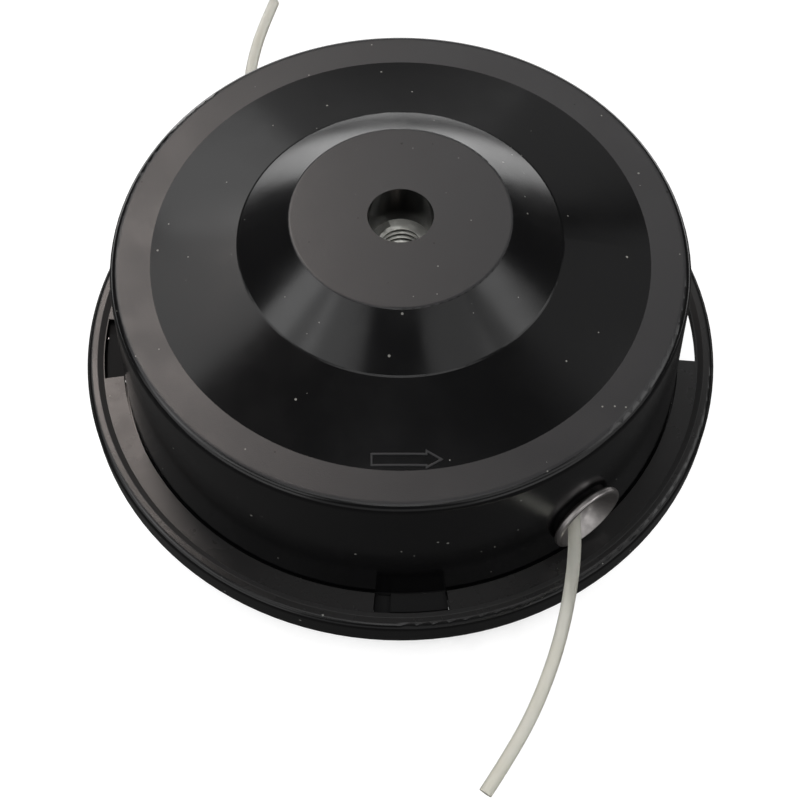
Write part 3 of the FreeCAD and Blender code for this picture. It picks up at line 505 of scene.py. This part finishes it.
# The outside of the insert comes from its solid, whose plain bore makes way for the thread.
body = merged_copy("arbor_insert", "insert_body", INSERT_GAP)
bpy.ops.object.mode_set(mode="EDIT")
bpy.ops.mesh.select_mode(type="FACE")
bpy.ops.mesh.select_all(action="DESELECT")
shape = bmesh.from_edit_mesh(body.data)
for face in shape.faces:
    reach = max(math.hypot(corner.co.x, corner.co.y) for corner in face.verts)
    face.select_set(reach < PLAIN_BORE_REACH)
bmesh.update_edit_mesh(body.data)
bpy.ops.mesh.delete(type="FACE")
bpy.ops.object.mode_set(mode="OBJECT")
for corner in body.data.vertices:
    radius = math.hypot(corner.co.x, corner.co.y)
    if radius < MOUTH_REACH and corner.co.z > MOUTH_FOOT:
        corner.co.x *= THREAD_MOUTH / radius
        corner.co.y *= THREAD_MOUTH / radius

body.select_set(True)
insert.select_set(True)
bpy.context.view_layer.objects.active = insert
bpy.ops.object.join()
bpy.ops.object.mode_set(mode="EDIT")
bpy.ops.mesh.select_mode(type="EDGE")
for low_end, high_end in (FOOT_JOINT, (MOUTH_FOOT, MOUTH_TOP)):
    bpy.ops.mesh.select_all(action="DESELECT")
    shape = bmesh.from_edit_mesh(insert.data)
    for line in shape.edges:
        middle = (line.verts[0].co.z + line.verts[1].co.z) / 2
        line.select_set(line.is_boundary and low_end < middle < high_end)
    bmesh.update_edit_mesh(insert.data)
    bpy.ops.mesh.bridge_edge_loops()
bpy.ops.mesh.select_mode(type="VERT")
bpy.ops.mesh.customdata_custom_splitnormals_clear()
close_piece()
bpy.ops.object.shade_smooth_by_angle(angle=math.radians(INSERT_SMOOTH))
insert_steel = turned_metal("insert_steel", INSERT_COLOUR, 0.38, 0.12)
insert.data.materials.clear()
insert.data.materials.append(insert_steel)
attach(insert, "head")
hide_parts("arbor_insert")


# The retaining ring, a flat steel ring notched round its edge and zinc plated. It is pressed
# in under the insert's hexagon and keeps it in the moulding.
PLATED_COLOUR = (0.66, 0.66, 0.65)
plated_steel = turned_metal("plated_steel", PLATED_COLOUR, 0.30, 0.2)
finish_node("insert_retaining_ring", plated_steel)


# The two eyelets, turned from a light alloy and flared outside the wall, where they keep the
# line from cutting it. A plated washer inside the wall is held by each one's rolled end.
EYELET_COLOUR = (0.60, 0.57, 0.56)
eyelet_alloy = turned_metal("eyelet_alloy", EYELET_COLOUR, 0.36, 0.15)
for side in ("front", "rear"):
    finish_node("eyelet_" + side, eyelet_alloy)
    finish_node("eyelet_washer_" + side, plated_steel)


# The compression spring, wound of round wire with ground ends, between its seat and the thrust
# washer.
SPRING_GAP = 0.001 * MM

finish_node("spring_seat", plated_steel)
finish_node("thrust_washer", plated_steel)
spring = merged_copy("compression_spring", "pressed_spring", SPRING_GAP)
spring.data.materials.clear()
spring.data.materials.append(plated_steel)
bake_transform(spring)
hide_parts("compression_spring")


# The spool and the bump knob, black nylon mouldings with a plain skin. The knob's three legs
# snap into the spool.
KNOB_COLOUR = (0.012, 0.012, 0.0125)
knob_nylon = moulded_plastic("knob_nylon", KNOB_COLOUR, 0.38)
finish_node("bump_knob", knob_nylon)
finish_node("spool", knob_nylon)


# The spool's bush, a flanged plain bearing moulded in natural acetal. It is pressed into the
# spool and runs on the stem of the insert.
BUSH_COLOUR = (0.74, 0.73, 0.69)
bush_acetal = moulded_plastic("bush_acetal", BUSH_COLOUR, 0.35)
finish_node("spool_bush", bush_acetal)


# The winding of the cutting line on the spool. The line is stiff round nylon in its natural
# cream, and translucent, so it looks grey against black and pale against the table.
LINE_COLOUR = (0.86, 0.85, 0.76)
LINE_PALER = (0.9, 0.895, 0.83)
LINE_MARKS = {"Grain": 0.5, "Cloud": 9.0}
LINE_RELIEF = (0.15, 0.05 * MM)
LINE_TRANSMISSION = 0.45
LINE_IOR = 1.5


def nylon_line():
    """Translucent nylon with a slightly uneven, waxy skin."""
    material, tree, shader = new_material("line_nylon")
    marks = place_group(tree, GRAIN, **LINE_MARKS)
    cloud = smooth_step(tree, marks.outputs["Cloudiness"], CLOUD_EDGES)
    tree.links.new(blend_colour(tree, cloud, LINE_COLOUR, LINE_PALER),
                   shader.inputs["Base Color"])
    tree.links.new(blend_value(tree, cloud, 0.28, 0.4), shader.inputs["Roughness"])
    shader.inputs["Transmission Weight"].default_value = LINE_TRANSMISSION
    shader.inputs["IOR"].default_value = LINE_IOR
    bump(tree, shader, marks.outputs["Height"], *LINE_RELIEF)
    return material


line_nylon = nylon_line()
finish_node("line_winding", line_nylon)


# The cover, a black nylon moulding with a wide rim, which the housing's latches hold. The rim's
# flat top has a satin skin, the bead round its edge is polished, and the rough slope is painted
# paler, a painted sheen that stands in for the light it would mirror.
COVER_GLOSS = (0.0035, 0.0035, 0.0038)
COVER_MATTE = (0.022, 0.0212, 0.0212)
# Painted sheen: the rim's slope is painted paler, in place of the light it would mirror.
COVER_PAINTED_SHEEN = (0.05, 0.049, 0.049)
COVER_POLISHED = 0.2
COVER_GRAINED = 0.27

# Where the skins of the rim begin and end, as radii and heights in millimetres.
BEAD_INSIDE = (68.6, 69.2)
RIM_TOP = (19.85, 19.95)
SLOPE_INSIDE = (66.3, 66.45)
SLOPE_OUTSIDE = (67.5, 67.7)
SLOPE_FOOT = (19.9, 19.98)


def cover_zone(tree):
    """The flat top of the rim and the crown of the bead round it."""
    place = place_group(tree, ROUND_PLACE)
    inside = smooth_step(tree, place.outputs["Radius"], BEAD_INSIDE, 1.0, 0.0)
    level = smooth_step(tree, place.outputs["Height"], RIM_TOP)
    return math_node(tree, "MULTIPLY", inside, level)


def slope_zone(tree):
    """The slope from the rim's flat top up to the bead."""
    place = place_group(tree, ROUND_PLACE)
    outside = smooth_step(tree, place.outputs["Radius"], SLOPE_INSIDE)
    inside = smooth_step(tree, place.outputs["Radius"], SLOPE_OUTSIDE, 1.0, 0.0)
    level = smooth_step(tree, place.outputs["Height"], SLOPE_FOOT)
    return math_node(tree, "MULTIPLY", math_node(tree, "MULTIPLY", outside, inside), level)


cover_nylon = moulded_plastic("cover_nylon", COVER_GLOSS, COVER_POLISHED, cover_zone, COVER_MATTE,
                              COVER_GRAINED, slope_zone, COVER_PAINTED_SHEEN)
finish_node("cover", cover_nylon)


# The two free ends of the cutting line. Each is pulled out through its eyelet and ends in a
# bare cut. It keeps some of the curl that it took on the spool.
LINE_DIAMETER = 2.7 * MM
FRONT_ROUTE = [
    (38.2, -2.0, 30.2), (37.4, -24.0, 30.2), (35.3, -46.5, 30.2), (35.3, -57.7, 29.3),
    (32.4, -72.3, 27.7), (28.1, -84.4, 25.9), (22.6, -95.0, 23.8), (16.2, -104.1, 22.0),
]
REAR_ROUTE = [
    (-38.2, 2.0, 30.2), (-37.4, 24.0, 30.2), (-35.3, 46.5, 30.2), (-36.4, 58.5, 29.0),
    (-36.9, 72.0, 26.2), (-36.3, 84.0, 22.8), (-35.0, 95.7, 19.2), (-33.0, 107.0, 16.0),
]


def free_line(name, node, route):
    """One free end of the line as a smooth curve along its route."""
    curve = bpy.data.curves.new(name, "CURVE")
    curve.dimensions = "3D"
    curve.bevel_depth = LINE_DIAMETER / 2
    curve.bevel_resolution = 8
    curve.resolution_u = 24
    curve.use_fill_caps = True
    curve.materials.append(line_nylon)
    spline = curve.splines.new("NURBS")
    spline.points.add(len(route) - 1)
    for point, place in zip(spline.points, route):
        point.co = (place[0] * MM, place[1] * MM, place[2] * MM, 1.0)
    spline.order_u = 3
    spline.use_endpoint_u = True
    piece = bpy.data.objects.new(name, curve)
    scene.collection.objects.link(piece)
    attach(piece, "head")
    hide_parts(node)


free_line("cutting_line_front", "line_front", FRONT_ROUTE)
free_line("cutting_line_rear", "line_rear", REAR_ROUTE)


# The table, plain and pale. It shows white where it is looked at, keeps a soft shadow from the
# lamps and a painted shadow, darkened by ambient occlusion, under the head, and the head's gloss
# mirrors it darker, with a pale backdrop behind it.
TABLE_SIZE = 6.0
TABLE_PALE = (0.38, 0.38, 0.38)
TABLE_SHADED = (0.01, 0.01, 0.01)
TABLE_MIRRORED = (0.07, 0.07, 0.07)
SHADOW_REACH = 0.05
SHADOW_EDGES = (0.15, 0.42)
TABLE_WHITE = 0.92
MIRRORED_GLOW = 0.03
BACKDROP_GLOW = 2.0
BACKDROP_EDGES = (0.10, 0.22)


def looked_at(tree, rays):
    """1 where a ray comes from the camera or through a translucent piece, or else 0."""
    return math_node(tree, "MAXIMUM", rays.outputs["Is Camera Ray"],
                     rays.outputs["Is Transmission Ray"])


def table_top():
    """Pale matt table whose own light makes it white where it is looked at, with a painted shadow
    under the head.
    """
    material = bpy.data.materials.new("table_top")
    material.use_nodes = True
    tree = material.node_tree
    tree.nodes.clear()
    matt = tree.nodes.new("ShaderNodeBsdfDiffuse")
    glow = tree.nodes.new("ShaderNodeEmission")
    rays = tree.nodes.new("ShaderNodeLightPath")
    # Painted shadow: ambient occlusion darkens the table's colour and its glow under the head and
    # close round it.
    corner = tree.nodes.new("ShaderNodeAmbientOcclusion")
    corner.samples = 16
    corner.inputs["Distance"].default_value = SHADOW_REACH
    outside_painted_shadow = smooth_step(tree, corner.outputs["AO"], SHADOW_EDGES, 0.0, TABLE_WHITE)
    colour = blend_colour(tree, outside_painted_shadow, TABLE_SHADED, TABLE_PALE)
    colour = blend_colour(tree, rays.outputs["Is Glossy Ray"], colour, TABLE_MIRRORED)
    tree.links.new(colour, matt.inputs["Color"])
    place = tree.nodes.new("ShaderNodeTexCoord")
    split = tree.nodes.new("ShaderNodeSeparateXYZ")
    tree.links.new(place.outputs["Object"], split.inputs[0])
    behind = smooth_step(tree, split.outputs["Y"], BACKDROP_EDGES, MIRRORED_GLOW, BACKDROP_GLOW)
    mirrored = math_node(tree, "MULTIPLY", rays.outputs["Is Glossy Ray"], behind)
    seen = math_node(tree, "MULTIPLY", looked_at(tree, rays), outside_painted_shadow)
    tree.links.new(math_node(tree, "MAXIMUM", seen, mirrored), glow.inputs["Strength"])
    both = tree.nodes.new("ShaderNodeAddShader")
    output = tree.nodes.new("ShaderNodeOutputMaterial")
    tree.links.new(matt.outputs[0], both.inputs[0])
    tree.links.new(glow.outputs[0], both.inputs[1])
    tree.links.new(both.outputs[0], output.inputs["Surface"])
    return material


bpy.ops.object.select_all(action="DESELECT")
bpy.ops.mesh.primitive_plane_add(size=TABLE_SIZE, location=(0.0, 0.0, 0.0))
floor = bpy.context.object
floor.name = "floor"
floor.data.materials.append(table_top())


# The soft boxes round a dark ceiling. Most stand behind and beside the head, so that its flat
# rings and its cones mirror them into the camera, and one is warmer than the rest.
LAMP_DISTANCE = 1.2
PLAIN = (1.0, 1.0, 1.0)
WARM = (1.0, 0.88, 0.82)
CEILING = (0.07, 0.07, 0.07)

# The name, azimuth, elevation, width and height in degrees, radiance and colour of each lamp.
SOFT_BOXES = [
    ("key_low", 118, 34, 18, 16, 1.4, PLAIN),
    ("key_high", 136, 50, 26, 22, 1.2, PLAIN),
    ("key_warm", 118, 55, 16, 16, 7.4, WARM),
    ("back_middle", 84, 49, 26, 16, 1.15, PLAIN),
    ("back_right", 66, 30, 18, 16, 0.27, PLAIN),
    ("back_strip", 92, 27, 30, 8, 0.45, PLAIN),
    ("left_far", -166, 40, 26, 18, 1.15, PLAIN),
    ("left_near", -137, 47, 26, 16, 1.15, PLAIN),
    ("left_low", -150, 20, 60, 20, 0.8, PLAIN),
    ("left_top", 178, 46, 26, 24, 1.3, PLAIN),
    ("right_near", -48, 50, 28, 16, 0.75, PLAIN),
    ("right_far", -12, 39, 36, 16, 0.70, PLAIN),
    ("right_low", -35, 20, 60, 20, 0.6, PLAIN),
    ("right_top", 2, 46, 26, 24, 1.3, PLAIN),
    ("right_back", 38, 50, 20, 30, 0.27, PLAIN),
    ("front_top", -90, 78, 44, 16, 1.1, PLAIN),
    ("front_low", -90, 16, 120, 24, 0.35, PLAIN),
    ("front_small", -90, 65, 16, 8, 1.9, PLAIN),
]


def soft_box(name, azimuth, elevation, wide, tall, radiance, colour):
    """A soft area lamp that faces the head, with its place and its sizes as angles."""
    a = math.radians(azimuth)
    e = math.radians(elevation)
    away = Vector((math.cos(a) * math.cos(e), math.sin(a) * math.cos(e), math.sin(e)))
    bpy.ops.object.light_add(type="AREA", location=away * LAMP_DISTANCE)
    lamp = bpy.context.object
    lamp.name = name
    lamp.rotation_mode = "QUATERNION"
    lamp.rotation_quaternion = (-away).to_track_quat("-Z", "Y")
    lamp.data.shape = "RECTANGLE"
    lamp.data.size = 2 * LAMP_DISTANCE * math.tan(math.radians(wide / 2))
    lamp.data.size_y = 2 * LAMP_DISTANCE * math.tan(math.radians(tall / 2))
    lamp.data.energy = radiance * math.pi * lamp.data.size * lamp.data.size_y
    lamp.data.color = colour


for lamp_facts in SOFT_BOXES:
    soft_box(*lamp_facts)

world = bpy.data.worlds.new("studio")
scene.world = world
world.use_nodes = True
tree = world.node_tree
rays = tree.nodes.new("ShaderNodeLightPath")
tree.links.new(blend_colour(tree, looked_at(tree, rays), CEILING, PLAIN),
               tree.nodes["Background"].inputs["Color"])


# The camera. It stands in front of the head and looks down on it at 59 degrees, with the
# mild perspective of a short telephoto lens. Its place was worked out from the ellipses of
# the rim, the shoulder and the flat top.
CAMERA_PLACE = Vector((0.0, -197.54, 325.64)) * MM
CAMERA_TARGET = Vector((-0.11, 0.0, -6.38)) * MM
CAMERA_LENS = 72.9
CAMERA_SENSOR = 36.0
CAMERA_CLIP = (0.01, 20.0)

bpy.ops.object.select_all(action="DESELECT")
bpy.ops.object.camera_add(location=CAMERA_PLACE)
camera = bpy.context.object
camera.name = "camera"
camera.rotation_mode = "QUATERNION"
camera.rotation_quaternion = (CAMERA_TARGET - CAMERA_PLACE).to_track_quat("-Z", "Y")
camera.data.lens = CAMERA_LENS
camera.data.sensor_width = CAMERA_SENSOR
camera.data.clip_start, camera.data.clip_end = CAMERA_CLIP
scene.camera = camera
